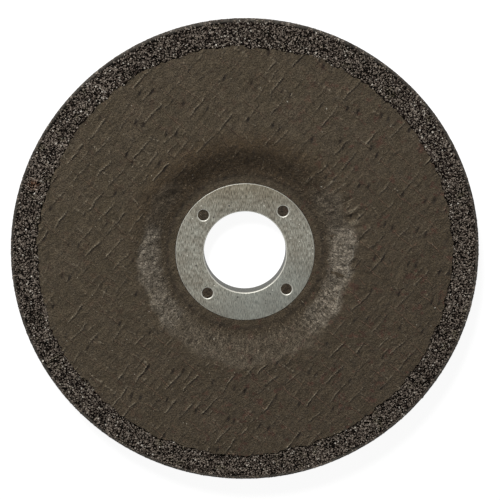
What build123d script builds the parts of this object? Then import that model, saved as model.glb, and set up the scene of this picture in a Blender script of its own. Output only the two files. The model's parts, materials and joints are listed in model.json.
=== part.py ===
import os
from math import radians, sqrt, tan

from build123d import *

# A depressed-centre grinding disc: a moulded abrasive dish, a woven facing
# bonded over its grinding face, and a pressed steel ring that lines the bore.
# It stands on the back of its hub, with the recess for the nut facing up.
# All lengths are in millimetres and all angles in degrees.

# Abrasive dish
disc_diameter = 125.0
disc_thickness = 6.0
recess_depth = 4.6
recess_slope = 35.0
band_width = 7.2
rim_edge_radius = 0.4
hub_edge_radius = 13.0
back_bend_radius = 3.0

# Facing
facing_thickness = 0.5
facing_proud = 0.3
floor_bend_radius = 7.0
mouth_bend_radius = 8.0

# Centre ring
bore_diameter = 22.23
flange_width = 7.6
ring_sheet = 0.8
bore_edge_radius = 0.35
flange_edge_radius = 0.15
collar_setback = 0.2
ring_margin = 3.6
ring_seam = 0.1
facing_below_ring = 0.1

# Key holes through the flange, which the moulding fills from below
key_hole_count = 4
key_hole_diameter = 3.0
key_hole_inset = 3.6
key_hole_angle = 47.7
key_hole_chamfer = 0.2
key_plug_depth = 0.25
key_plug_clearance = 0.05

# Imprint of the woven cloth: a satin weave, in which each warp thread
# dips under one weft thread in five
thread_pitch = 3.97
warp_angle = 48.75
satin_count = 5
satin_step = 2
thread_width = 0.6
thread_height = 0.2
thread_flank = 40.0
knot_gap = 1.4
knot_length = 2.4
imprint_margin = 1.0
shortest_ridge = 1.2

# Radii from the axis
disc_radius = disc_diameter / 2
facing_radius = disc_radius - band_width
bore_radius = bore_diameter / 2
collar_radius = bore_radius + ring_sheet
ring_radius = bore_radius + flange_width
seam_radius = ring_radius + ring_seam
floor_radius = ring_radius + ring_margin
mouth_radius = floor_radius + recess_depth / tan(radians(recess_slope))
key_circle_radius = ring_radius - key_hole_inset

# Heights above the back of the hub
ring_face = disc_thickness
ring_seat = ring_face - ring_sheet
floor_top = ring_face - facing_below_ring
rim_top = ring_face + recess_depth
slope_rise = rim_top - floor_top
band_top = rim_top - facing_proud

# A surface that lies deeper in the wall turns at a larger radius, so that
# the slope keeps the same thickness as the flats
half_slope = tan(radians(recess_slope / 2))
facing_shift = facing_thickness * half_slope
wall_shift = disc_thickness * half_slope


def corner(section, radius, height):
    """The corner of a section that lies at this radius and height."""
    return section.vertices().sort_by_distance((radius, height))[0]


# The facing dips under the ring's flange, rises beside its edge, crosses the
# recess floor, climbs the slope and ends short of the rim
step_radius = seam_radius + facing_thickness
facing_upper = [
    (collar_radius, ring_seat),
    (seam_radius, ring_seat),
    (seam_radius, floor_top),
    (floor_radius, floor_top),
    (mouth_radius, rim_top),
    (facing_radius, rim_top),
]
facing_lower = [
    (facing_radius, rim_top - facing_thickness),
    (mouth_radius + facing_shift, rim_top - facing_thickness),
    (floor_radius + facing_shift, floor_top - facing_thickness),
    (step_radius, floor_top - facing_thickness),
    (step_radius, ring_seat - facing_thickness),
    (collar_radius, ring_seat - facing_thickness),
]
lower_mouth = facing_lower[1]
lower_floor = facing_lower[2]


# Centre ring: a flange on the recess floor and a collar through the hub,
# pressed from one sheet
with BuildPart() as centre_ring:
    with BuildSketch(Plane.XZ) as ring_section:
        with BuildLine():
            Polyline(
                (bore_radius, collar_setback),
                (bore_radius, ring_face),
                (ring_radius, ring_face),
                (ring_radius, ring_seat),
                (collar_radius, ring_seat),
                (collar_radius, collar_setback),
                close=True,
            )
        make_face()
        fillet(corner(ring_section, bore_radius, ring_face), bore_edge_radius)
        fillet(corner(ring_section, ring_radius, ring_face), flange_edge_radius)
    revolve(axis=Axis.Z)
    with Locations(Plane.XY.offset(ring_face)):
        with PolarLocations(key_circle_radius, key_hole_count, key_hole_angle):
            Hole(key_hole_diameter / 2, depth=ring_sheet)
    hole_rims = (
        centre_ring.edges()
        .filter_by(GeomType.CIRCLE)
        .filter_by(lambda edge: abs(edge.radius - key_hole_diameter / 2) < 0.01)
        .group_by(Axis.Z)[-1]
    )
    chamfer(hole_rims, key_hole_chamfer)
centre_ring.part.label = "centre_ring"


def flat_stretches(offset):
    """Where a straight thread, this far from the axis, lies on the flat
    of the facing: outside the recess mouth and inside the facing's edge."""
    outer = facing_radius - imprint_margin
    inner = mouth_radius + mouth_bend_radius * half_slope + imprint_margin
    if abs(offset) >= outer:
        return []
    reach = sqrt(outer**2 - offset**2)
    if abs(offset) >= inner:
        return [(-reach, reach)]
    start = sqrt(inner**2 - offset**2)
    return [(-reach, -start), (start, reach)]


def ridge_spans(low, high, offset):
    """The parts of a ridge, from low to high, that lie on the flat."""
    spans = []
    for first, last in flat_stretches(offset):
        first = max(first, low)
        last = min(last, high)
        if last - first > shortest_ridge:
            spans.append((first, last))
    return spans


# Mesh facing: one sheet of resin-soaked cloth, with the ridges that its
# threads raise and the plugs that it pushes up into the ring's key holes
with BuildPart() as mesh_facing:
    with BuildSketch(Plane.XZ) as facing_section:
        with BuildLine():
            Polyline(*facing_upper, *facing_lower, close=True)
        make_face()
        fillet(corner(facing_section, mouth_radius, rim_top), mouth_bend_radius)
        fillet(corner(facing_section, floor_radius, floor_top), floor_bend_radius)
        fillet(corner(facing_section, *lower_mouth), mouth_bend_radius - facing_thickness)
        fillet(corner(facing_section, *lower_floor), floor_bend_radius + facing_thickness)
    revolve(axis=Axis.Z)

    with BuildSketch(Plane.XY.offset(ring_seat)):
        with PolarLocations(key_circle_radius, key_hole_count, key_hole_angle):
            Circle(key_hole_diameter / 2 - key_plug_clearance)
    extrude(amount=ring_sheet - key_plug_depth)

    thread_plane = Plane.XY.offset(rim_top).rotated((0, 0, warp_angle))
    line_count = int(facing_radius / thread_pitch)
    lines = range(-line_count, line_count + 1)
    repeat = satin_count * thread_pitch
    with BuildSketch(thread_plane):
        for line in lines:
            across = line * thread_pitch
            for turn in lines:
                knot = turn * repeat + satin_step * across
                # A warp thread floats from one knot to the next
                float_start = knot + knot_gap / 2
                float_end = knot + repeat - knot_gap / 2
                for first, last in ridge_spans(float_start, float_end, across):
                    with Locations(((first + last) / 2, across)):
                        Rectangle(last - first, thread_width)
                # At the knot it dips, and a weft thread stands over it
                knot_start = across - knot_length / 2
                knot_end = across + knot_length / 2
                for first, last in ridge_spans(knot_start, knot_end, knot):
                    with Locations((knot, (first + last) / 2)):
                        Rectangle(thread_width, last - first)
    extrude(amount=thread_height, taper=thread_flank)
mesh_facing.part.label = "mesh_facing"


# Abrasive body: the moulded dish under the facing, bare in a band round it,
# on its rim and all over its back
with BuildPart() as abrasive_body:
    with BuildSketch(Plane.XZ) as body_section:
        with BuildLine():
            Polyline(
                *facing_lower,
                (collar_radius, 0),
                (floor_radius + wall_shift, 0),
                (mouth_radius + wall_shift, recess_depth),
                (disc_radius, recess_depth),
                (disc_radius, band_top),
                (facing_radius, band_top),
                close=True,
            )
        make_face()
        fillet(corner(body_section, *lower_mouth), mouth_bend_radius - facing_thickness)
        fillet(corner(body_section, *lower_floor), floor_bend_radius + facing_thickness)
        fillet(corner(body_section, floor_radius + wall_shift, 0), hub_edge_radius)
        fillet(corner(body_section, mouth_radius + wall_shift, recess_depth), back_bend_radius)
        fillet(corner(body_section, disc_radius, recess_depth), rim_edge_radius)
        fillet(corner(body_section, disc_radius, band_top), rim_edge_radius)
    revolve(axis=Axis.Z)
abrasive_body.part.label = "abrasive_body"


os.makedirs("parts", exist_ok=True)
for piece in (abrasive_body, mesh_facing, centre_ring):
    export_step(piece.part, f"parts/{piece.part.label}.step")
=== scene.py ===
# %% [markdown]
# # A grinding disc
# This notebook dresses a depressed-centre grinding disc. Its exact solids come
# from the frame: a moulded abrasive dish, a woven facing bonded over its
# grinding side, and a pressed steel ring in its bore. Each of them gets a
# piece here that has the same form and the surface of the real thing. The
# frame is loaded first, because every size below is read from it.

# %% Load the frame
import json
import math

import bpy
import numpy as np
from mathutils import Matrix, Vector, geometry

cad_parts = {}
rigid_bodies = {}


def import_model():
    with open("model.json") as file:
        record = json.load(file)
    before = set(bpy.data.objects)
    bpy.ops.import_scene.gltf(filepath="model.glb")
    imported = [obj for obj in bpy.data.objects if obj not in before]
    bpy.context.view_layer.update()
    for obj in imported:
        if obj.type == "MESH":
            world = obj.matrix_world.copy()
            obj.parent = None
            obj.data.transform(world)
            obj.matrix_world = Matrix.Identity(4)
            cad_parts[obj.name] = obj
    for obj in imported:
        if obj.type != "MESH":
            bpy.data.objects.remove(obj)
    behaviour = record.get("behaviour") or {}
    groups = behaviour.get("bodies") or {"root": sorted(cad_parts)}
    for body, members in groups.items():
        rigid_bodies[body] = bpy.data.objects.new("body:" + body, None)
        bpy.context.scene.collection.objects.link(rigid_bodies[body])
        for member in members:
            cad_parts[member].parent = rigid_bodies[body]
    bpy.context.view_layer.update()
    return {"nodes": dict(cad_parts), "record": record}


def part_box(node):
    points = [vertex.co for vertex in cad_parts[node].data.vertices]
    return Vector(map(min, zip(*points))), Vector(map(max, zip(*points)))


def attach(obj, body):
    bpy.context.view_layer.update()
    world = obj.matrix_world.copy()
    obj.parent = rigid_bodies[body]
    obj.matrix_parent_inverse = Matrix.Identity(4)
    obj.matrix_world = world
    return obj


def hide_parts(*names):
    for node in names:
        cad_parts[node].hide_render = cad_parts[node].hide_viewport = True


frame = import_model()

print("Nodes in the frame:", sorted(frame["nodes"]))

# %% [markdown]
# ## Sizes
# Blender works in metres, and a disc is easier to think of in millimetres, so
# MM turns one into the other. The radii and heights come from the boxes of the
# nodes and from the bore's own record. Only what a box can't tell, such as the
# slope of the recess, is written as a number.

# %% Sizes read from the frame
MM = 0.001
body_low, body_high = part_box("abrasive_body")
facing_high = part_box("mesh_facing")[1]
ring_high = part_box("centre_ring")[1]
mounts = {mount["name"]: mount for mount in frame["record"]["mounts"]}

thread_height = 0.2 * MM
facing_below_ring = 0.1 * MM
facing_thickness = 0.5 * MM
ring_sheet = 0.8 * MM
ring_margin = 3.6 * MM
ring_seam = 0.1 * MM
thread_pitch = 3.97 * MM
warp_angle = math.radians(48.75)
recess_slope = math.radians(35)
floor_bend = 7 * MM
mouth_bend = 8 * MM
hub_edge = 13 * MM
back_bend = 3 * MM

disc_radius = body_high[0]
band_top = body_high[2]
hub_back = body_low[2]
facing_radius = facing_high[0]
rim_top = facing_high[2] - thread_height
ring_face = ring_high[2]
ring_radius = ring_high[0]
bore_radius = mounts["spindle_bore"]["dims"]["r_mm"] * MM
collar_radius = bore_radius + ring_sheet
seam_radius = ring_radius + ring_seam
floor_top = ring_face - facing_below_ring
floor_radius = ring_radius + ring_margin
recess_depth = rim_top - ring_face
mouth_radius = floor_radius + recess_depth / math.tan(recess_slope)
disc_thickness = ring_face - hub_back
rim_back = hub_back + recess_depth
wall_shift = disc_thickness * math.tan(recess_slope / 2)
print("Disc radius and facing radius, mm:", disc_radius / MM, facing_radius / MM)

# %% [markdown]
# ## The dish in section
# Front and back share one kind of section: a flat, a bend, the slope, a bend
# and a flat again. A spline through a few points would only come near to it,
# so the height is worked out from the two arcs that a bend really is. One
# function then serves the facing, the grain and the moulded body. Everything
# lies round one axis, so three short functions turn places into radii and
# angles and back.

# %% Height of a dished surface, and places round the axis
def dished(radius, floor, mouth, floor_bend, mouth_bend):
    """Heights at these radii. Floor and mouth are (radius, height) corners."""
    radius = np.asarray(radius, dtype=float)
    slope = math.atan2(mouth[1] - floor[1], mouth[0] - floor[0])
    floor_start = floor[0] - floor_bend * math.tan(slope / 2)
    floor_end = floor_start + floor_bend * math.sin(slope)
    mouth_end = mouth[0] + mouth_bend * math.tan(slope / 2)
    mouth_start = mouth_end - mouth_bend * math.sin(slope)
    into_floor = np.clip(radius - floor_start, 0, floor_bend)
    into_mouth = np.clip(mouth_end - radius, 0, mouth_bend)
    on_floor = floor[1] + floor_bend - np.sqrt(floor_bend**2 - into_floor**2)
    on_slope = floor[1] + (radius - floor[0]) * math.tan(slope)
    on_mouth = mouth[1] - mouth_bend + np.sqrt(mouth_bend**2 - into_mouth**2)
    height = np.where(radius < floor_end, on_floor, on_slope)
    return np.where(radius > mouth_start, on_mouth, height)


def front_height(radius, depth=0.0):
    """The grinding side, or a surface that lies this deep under it."""
    shift = depth * math.tan(recess_slope / 2)
    floor = (floor_radius + shift, floor_top - depth)
    mouth = (mouth_radius + shift, rim_top - depth)
    return dished(radius, floor, mouth, floor_bend + depth, mouth_bend - depth)


def back_height(radius):
    """The back of the dish, which rests on the flat of its hub."""
    floor = (floor_radius + wall_shift, hub_back)
    mouth = (mouth_radius + wall_shift, rim_back)
    return dished(radius, floor, mouth, hub_edge, back_bend)


def axis_distance(points):
    """How far each of these points lies from the axis."""
    return np.hypot(points[..., 0], points[..., 1])


def heading_of(points):
    """The angle at which each of these points lies round the axis."""
    return np.arctan2(points[..., 1], points[..., 0])


def round_axis(radius, angle):
    """Points at these radii and angles, as seen from above."""
    return np.column_stack([radius * np.cos(angle), radius * np.sin(angle)])


print("Wall at 25 mm, mm:", round(float(front_height(0.025) - back_height(0.025)) / MM, 2))

# %% [markdown]
# ## Working by hand
# Operators act on whatever is selected, and the loaded nodes are selected
# still. These helpers select one piece alone, turn a section round the axis
# the way the Spin tool does, store values that a material can read, and finish
# a piece: its place goes into its mesh, it is tied to the body it rides on,
# and the solid it stands for is hidden.

# %% Helpers for selecting, spinning and finishing
def placed(name, data):
    """A new object in the scene, with this data."""
    piece = bpy.data.objects.new(name, data)
    bpy.context.scene.collection.objects.link(piece)
    return piece


def select_only(piece):
    """Leaves one piece selected and active."""
    bpy.ops.object.select_all(action="DESELECT")
    piece.select_set(True)
    bpy.context.view_layer.objects.active = piece


def edit(piece):
    """Opens one piece in edit mode with all of it selected."""
    select_only(piece)
    bpy.ops.object.mode_set(mode="EDIT")
    bpy.ops.mesh.select_all(action="SELECT")


def close_edit():
    """Goes back to object mode."""
    bpy.ops.object.mode_set(mode="OBJECT")


def spun(name, section, steps):
    """Turns a closed section, a list of (radius, height), round the axis."""
    bpy.ops.object.select_all(action="DESELECT")
    start = (section[0][0], 0, section[0][1])
    bpy.ops.mesh.primitive_plane_add(size=MM, location=start)
    piece = bpy.context.object
    piece.name = name
    edit(piece)
    bpy.ops.mesh.merge(type="CENTER")
    for here, there in zip(section, section[1:] + section[:1]):
        step = (there[0] - here[0], 0, there[1] - here[1])
        bpy.ops.mesh.extrude_region_move(TRANSFORM_OT_translate={"value": step})
    bpy.ops.mesh.select_all(action="SELECT")
    bpy.ops.mesh.spin(steps=steps, angle=math.tau, center=(0, 0, 0), axis=(0, 0, 1))
    bpy.ops.mesh.select_all(action="SELECT")
    bpy.ops.mesh.remove_doubles(threshold=MM / 1000)
    bpy.ops.mesh.normals_make_consistent(inside=False)
    close_edit()
    bpy.ops.object.transform_apply(location=True, rotation=False, scale=False)
    return piece


def use_modifier(piece, kind, **settings):
    """Adds a modifier with these settings and applies it."""
    select_only(piece)
    modifier = piece.modifiers.new(kind.title(), kind)
    for setting, value in settings.items():
        setattr(modifier, setting, value)
    bpy.ops.object.modifier_apply(modifier=modifier.name)


def give_attribute(mesh, name, values, domain="POINT"):
    """Stores a value for each corner or face, for a material to read."""
    layer = mesh.attributes.new(name, "FLOAT", domain)
    layer.data.foreach_set("value", np.asarray(values, dtype=np.float32))


def finish(piece, name, node, material):
    """Names a piece, gives it its finish and ties it to the frame."""
    select_only(piece)
    bpy.ops.object.transform_apply(location=True, rotation=True, scale=True)
    piece.name = name
    piece.data.name = name
    piece.data.materials.clear()
    piece.data.materials.append(material)
    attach(piece, "root")
    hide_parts(node)
    print(name, "has", sum(len(face.vertices) - 2 for face in piece.data.polygons), "triangles")


# %% [markdown]
# ## Repeatable chance
# Grain, wrinkles and wear need chance that comes out the same on every run. A
# number worked out from a pair of whole numbers does that, and smoothed
# between them it makes a soft noise. The noise can close on itself, which a
# pattern that runs round the disc needs.

# %% Chance and smooth noise
def chance(i, j, seed):
    """A random-looking number from 0 to 1 for each pair of whole numbers.
    The large factors scatter neighbouring pairs."""
    n = np.asarray(i, dtype=np.int64) * 73856093
    n = (n + np.asarray(j, dtype=np.int64) * 19349663 + seed * 83492791) & 0x7FFFFFFF
    n = ((n ^ (n >> 13)) * 1274126177) & 0x7FFFFFFF
    return ((n ^ (n >> 15)) & 65535) / 65535.0


def soft(t):
    """Eases from 0 to 1."""
    t = np.clip(t, 0, 1)
    return t * t * (3 - 2 * t)


def smooth_noise(x, y, seed, around=0):
    """Smooth noise from -1 to 1 over cells one unit wide. Where around is
    given, x closes on itself after that many cells."""
    i, j = np.floor(x), np.floor(y)
    s, t = soft(x - i), soft(y - j)
    left = np.mod(i, around) if around else i
    right = np.mod(i + 1, around) if around else i + 1
    low = chance(left, j, seed) * (1 - s) + chance(right, j, seed) * s
    high = chance(left, j + 1, seed) * (1 - s) + chance(right, j + 1, seed) * s
    return 2 * (low * (1 - t) + high * t) - 1


print("Two chances:", chance(3, 4, 1), chance(4, 3, 1))

# %% [markdown]
# ## Shader helpers
# Every finish here is mixed from nodes. A few short functions keep that
# readable: they add a node with its settings and inputs, do one step of
# arithmetic, blend two colours, lay colours over a tone where masks say so,
# and turn part of a range into 0 to 1. Colours are given as they look on a
# screen, 0 to 255, and turned into the linear values that Blender mixes with.

# %% Helpers for arithmetic and colours
def colour(red, green, blue):
    """A screen colour, 0 to 255, as the linear colour that nodes work in."""
    linear = []
    for value in (red / 255, green / 255, blue / 255):
        linear.append(value / 12.92 if value <= 0.04045 else ((value + 0.055) / 1.055) ** 2.4)
    return (*linear, 1.0)


def fill(tree, node, inputs):
    """Gives each of these inputs a value, or links a socket to it."""
    for name, value in inputs.items():
        if isinstance(value, bpy.types.NodeSocket):
            tree.links.new(value, node.inputs[name])
        else:
            node.inputs[name].default_value = value


def add(tree, kind, inputs=None, **settings):
    """Adds a shader node with these settings and inputs."""
    node = tree.nodes.new("ShaderNode" + kind)
    for setting, value in settings.items():
        setattr(node, setting, value)
    fill(tree, node, inputs or {})
    return node


def maths(tree, operation, first, second=0.0):
    """One step of arithmetic on values or sockets."""
    return add(tree, "Math", {0: first, 1: second}, operation=operation).outputs[0]


def times(tree, first, second):
    """The product of two values or sockets."""
    return maths(tree, "MULTIPLY", first, second)


def vector_maths(tree, operation, first, second=(0, 0, 0)):
    """One step of arithmetic on vectors, and the vector or value it gives."""
    outputs = add(tree, "VectorMath", {0: first, 1: second}, operation=operation).outputs
    return outputs["Value"] if operation in ("LENGTH", "DISTANCE") else outputs["Vector"]


def blend(tree, factor, first, second, mode="MIX"):
    """Blends two colours, or sockets, by a factor and gives the result."""
    ends = {0: factor, 6: first, 7: second}
    return add(tree, "Mix", ends, data_type="RGBA", blend_type=mode).outputs[2]


def tinted(tree, tone, *layers):
    """Lays screen colours over a tone, each as strongly as its mask says."""
    for mask, shade in layers:
        tone = blend(tree, mask, tone, colour(*shade))
    return tone


def ramp(tree, value, low, high, start=0.0, end=1.0):
    """Turns low to high of a value into start to end, eased."""
    ends = {"Value": value, "From Min": low, "From Max": high, "To Min": start, "To Max": end}
    return add(tree, "MapRange", ends, interpolation_type="SMOOTHSTEP").outputs[0]


print("A screen grey of 128 is linear", round(colour(128, 128, 128)[0], 3))

# %% [markdown]
# The other helpers name what the finishes use again and again: a cloudy
# noise, bumps, a value that the mesh carries, places in millimetres, and new
# materials and groups of nodes.

# %% Helpers for noise, bumps, materials and groups
def noise(tree, place, scale, detail, roughness=0.5):
    """A cloudy noise from 0 to 1, with this many clouds to a unit."""
    cloudy = {"Vector": place, "Scale": scale, "Detail": detail, "Roughness": roughness}
    return add(tree, "TexNoise", cloudy).outputs[0]


def bumps(tree, height, strength, distance):
    """The normals of a surface that this height roughens."""
    rough = {"Height": height, "Strength": strength, "Distance": distance}
    return add(tree, "Bump", rough).outputs[0]


def from_mesh(tree, name):
    """The value that the mesh stores under this name."""
    return add(tree, "Attribute", attribute_name=name).outputs["Fac"]


def scaled(tree, place, scale):
    """The place, with each of its coordinates scaled."""
    return add(tree, "Mapping", {"Vector": place, "Scale": scale}).outputs[0]


def millimetres(tree):
    """The piece's own coordinates, counted in millimetres."""
    return scaled(tree, add(tree, "TexCoord").outputs["Object"], (1 / MM,) * 3)


def seen_from_above(tree, place):
    """The place without its height, and its distance from the axis."""
    flattened = vector_maths(tree, "MULTIPLY", place, (1, 1, 0))
    return flattened, vector_maths(tree, "LENGTH", flattened)


def new_material(name):
    """An empty material, with its tree and its shader."""
    material = bpy.data.materials.new(name)
    material.use_nodes = True
    tree = material.node_tree
    return material, tree, tree.nodes["Principled BSDF"]


def new_group(name, inputs, outputs):
    """A node group with named sockets, what it is given and its last node."""
    tree = bpy.data.node_groups.new(name, "ShaderNodeTree")
    for sockets, way in ((inputs, "INPUT"), (outputs, "OUTPUT")):
        for socket, kind in sockets.items():
            tree.interface.new_socket(socket, in_out=way, socket_type="NodeSocket" + kind)
    return tree, tree.nodes.new("NodeGroupInput").outputs, tree.nodes.new("NodeGroupOutput")


def use_group(tree, group, inputs):
    """Places a group in a tree and gives its outputs."""
    node = tree.nodes.new("ShaderNodeGroup")
    node.node_tree = group
    fill(tree, node, inputs)
    return node.outputs


print("Materials in the file so far:", len(bpy.data.materials))

# %% [markdown]
# ## Effects that several finishes share
# Resin, cloth and steel all have blotches of two tones, tiny specks of
# something else, and marks that show on one side of the disc more than on the
# other. The cloth also has thin pale lines over its cross threads. Each of
# these is a node group, built once and set where it's used. A group gives only
# colours and masks: the shader stays outside it.

# %% The blotch group
blotches, given, gives = new_group(
    "Blotches",
    {"Vector": "Vector", "Size": "Float", "Sharpness": "Float", "Dark": "Color", "Light": "Color"},
    {"Colour": "Color", "Mask": "Float"},
)
cloud = noise(blotches, given["Vector"], maths(blotches, "DIVIDE", 1.0, given["Size"]), 5.0, 0.6)
spread = times(blotches, maths(blotches, "SUBTRACT", cloud, 0.5), given["Sharpness"])
mask = add(blotches, "Clamp", {"Value": maths(blotches, "ADD", spread, 0.5)}).outputs[0]
two_tones = blend(blotches, mask, given["Dark"], given["Light"])
fill(blotches, gives, {"Colour": two_tones, "Mask": mask})
print(blotches.name, "has", len(blotches.nodes), "nodes")

# %% The speck group
specks, given, gives = new_group(
    "Specks",
    {"Vector": "Vector", "Spacing": "Float", "Size": "Float", "Share": "Float"},
    {"Mask": "Float"},
)
frequency = maths(specks, "DIVIDE", 1.0, given["Spacing"])
cells = add(specks, "TexVoronoi", {"Vector": given["Vector"], "Scale": frequency}).outputs
reach = maths(specks, "DIVIDE", given["Size"], given["Spacing"])
inside = maths(specks, "LESS_THAN", cells["Distance"], reach)
lot = add(specks, "SeparateColor", {"Color": cells["Color"]}).outputs[0]
chosen = maths(specks, "LESS_THAN", lot, given["Share"])
fill(specks, gives, {"Mask": times(specks, inside, chosen)})
print(specks.name, "has", len(specks.nodes), "nodes")

# %% The group for one side of the disc
one_side, given, gives = new_group(
    "One side of the disc",
    {"Vector": "Vector", "Angle": "Float", "Spread": "Float"},
    {"Mask": "Float"},
)
axes = add(one_side, "SeparateXYZ", {"Vector": given["Vector"]}).outputs
heading = maths(one_side, "ARCTAN2", axes["Y"], axes["X"])
turned = maths(one_side, "SUBTRACT", heading, maths(one_side, "RADIANS", given["Angle"]))
edge = maths(one_side, "COSINE", maths(one_side, "RADIANS", given["Spread"]))
fill(one_side, gives, {"Mask": ramp(one_side, maths(one_side, "COSINE", turned), edge, 1.0)})
print(one_side.name, "has", len(one_side.nodes), "nodes")

# %% The group for thin lines over threads
thread_lines, given, gives = new_group(
    "Thread lines",
    {"Vector": "Vector", "Pitch": "Float", "Width": "Float"},
    {"Mask": "Float"},
)
wave = times(thread_lines, noise(thread_lines, given["Vector"], 0.3, 3.0), 1.6)
axes = add(thread_lines, "SeparateXYZ", {"Vector": given["Vector"]}).outputs
turns = maths(thread_lines, "DIVIDE", maths(thread_lines, "ADD", axes["X"], wave), given["Pitch"])
from_line = times(thread_lines, maths(thread_lines, "PINGPONG", turns, 0.5), given["Pitch"])
line = ramp(thread_lines, maths(thread_lines, "DIVIDE", from_line, given["Width"]), 1.0, 0.3)
long_runs = noise(thread_lines, scaled(thread_lines, given["Vector"], (0.5, 0.17, 0.0)), 1.0, 1.0)
broken = times(thread_lines, line, ramp(thread_lines, long_runs, 0.48, 0.62))
fill(thread_lines, gives, {"Mask": broken})
print(thread_lines.name, "has", len(thread_lines.nodes), "nodes")

# %% The brushed group
brushed, given, gives = new_group(
    "Brushed",
    {"Vector": "Vector", "Width": "Float", "Length": "Float"},
    {"Mask": "Float"},
)
axes = add(brushed, "SeparateXYZ", {"Vector": given["Vector"]}).outputs
across = maths(brushed, "DIVIDE", axes["X"], given["Width"])
along = maths(brushed, "DIVIDE", axes["Y"], given["Length"])
stretched = add(brushed, "CombineXYZ", {"X": across, "Y": along, "Z": axes["Z"]}).outputs[0]
fill(brushed, gives, {"Mask": noise(brushed, stretched, 1.0, 3.0, 0.65)})
print(brushed.name, "has", len(brushed.nodes), "nodes")

# %% [markdown]
# ## The finish of the cloth
# The facing is glass cloth soaked in brown resin, and nearly matt. One flat
# brown would look like paint. So the resin is mottled in two browns, darker at
# the lower right and rusty in spots, and painted shade darkens the top of the
# slope, which faces away from the lamp. Masks that know the side of the disc
# and the distance from its axis place these tones.

# %% The ground tone of the cloth
def marks(tree, place, spacing, size, share, within=1.0):
    """Small marks scattered over a piece, as strong as the last mask says."""
    scattered = {"Vector": place, "Spacing": spacing, "Size": size, "Share": share}
    return times(tree, use_group(tree, specks, scattered)["Mask"], within)


def patches(tree, place, size, sharpness, dark=(0, 0, 0, 1), light=(1, 1, 1, 1)):
    """Soft patches of two tones, as a colour and a mask."""
    mottled = {"Vector": place, "Size": size, "Sharpness": sharpness, "Dark": dark, "Light": light}
    return use_group(tree, blotches, mottled)


def towards(tree, place, angle, spread):
    """How far each place lies towards this angle, from 0 to 1."""
    return use_group(tree, one_side, {"Vector": place, "Angle": angle, "Spread": spread})["Mask"]


cloth_finish, tree, shader = new_material("resin_cloth")
place = millimetres(tree)
laid = add(tree, "Mapping", {"Vector": place, "Rotation": (0, 0, -warp_angle)}).outputs[0]
lower_side = towards(tree, place, -50.0, 130.0)
right_side = ramp(tree, towards(tree, place, -20.0, 120.0), 0.0, 0.6, 0.3, 1.0)
rust = ramp(tree, patches(tree, place, 2.4, 3.0)["Mask"], 0.72, 0.95, 0.0, 0.6)
flattened, from_axis = seen_from_above(tree, place)
past_ring = ramp(tree, from_axis, 20.0, 23.0)
on_slope = maths(tree, "SUBTRACT", past_ring, ramp(tree, from_axis, 26.0, 31.0))
slope_shade = maths(tree, "SUBTRACT", past_ring, ramp(tree, from_axis, 27.0, 36.0))
mottled = patches(tree, place, 9.0, 2.4, colour(92, 81, 63), colour(102, 90, 73))
tone = tinted(
    tree,
    mottled["Colour"],
    (times(tree, lower_side, 0.3), (80, 67, 51)),
    (times(tree, rust, right_side), (98, 64, 53)),
    # Painted shade, darker and redder, on the top of the slope, which faces away from the lamp.
    (times(tree, slope_shade, towards(tree, place, 105.0, 85.0)), (85, 68, 46)),
    (times(tree, on_slope, 0.22), (130, 115, 95)),
)
print("Nodes in the ground tone:", len(tree.nodes))

# %% [markdown]
# The cloth is paler where ridges and folds have rubbed. Painted shade darkens
# the hollows between the threads, the corner at the ring and the plugs in the
# key holes. Masks made of noise would miss those shapes. So the mesh carries
# how rubbed each point is and how much painted shade it takes, and the tones
# lie exactly on those shapes. Small marks of dust, dirt and bare skin follow.

# %% Threads, wear and dirt on the cloth
crossing = {"Vector": laid, "Pitch": thread_pitch / MM, "Width": 0.2}
crossing = use_group(tree, thread_lines, crossing)["Mask"]
crossing = times(tree, crossing, ramp(tree, from_axis, 26.0, 31.0))
crest, worn, hollow_shade = [from_mesh(tree, name) for name in ("crest", "worn", "hollow_shade")]
uneven = ramp(tree, patches(tree, place, 1.9, 2.6)["Mask"], 0.0, 1.0, 0.62, 1.2)
flecked = ramp(tree, patches(tree, place, 3.0, 3.0)["Mask"], 0.3, 0.8, 0.1, 1.0)
rubbed = times(tree, ramp(tree, worn, 0.06, 0.3), flecked)
tone = tinted(
    tree,
    tone,
    (times(tree, crossing, ramp(tree, lower_side, 0.0, 0.8, 0.35, 0.8)), (130, 106, 88)),
    (ramp(tree, crest, 0.05, 0.7, 0.0, 0.85), (174, 161, 139)),
    (times(tree, worn, uneven), (214, 201, 181)),
    (ramp(tree, crest, 1.05, 1.9, 0.0, 0.9), (226, 217, 202)),
    (marks(tree, place, 0.65, 0.15, 0.24, rubbed), (226, 217, 202)),
    (marks(tree, laid, 0.6, 0.16, 0.28, rubbed), (62, 53, 44)),
    # Painted shade in the hollows between the threads, the corner at the ring and the key holes.
    (ramp(tree, hollow_shade, 0.0, 0.9, 0.0, 0.92), (36, 27, 20)),
    (marks(tree, place, 2.0, 0.13, 0.2), (190, 182, 166)),
    (marks(tree, place, 5.0, 0.2, 0.4), (222, 216, 200)),
    (marks(tree, laid, 0.55, 0.14, 0.36, on_slope), (172, 156, 133)),
    (marks(tree, place, 0.5, 0.14, 0.36, on_slope), (50, 40, 31)),
)
print("Nodes with threads, wear and dirt:", len(tree.nodes))
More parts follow.
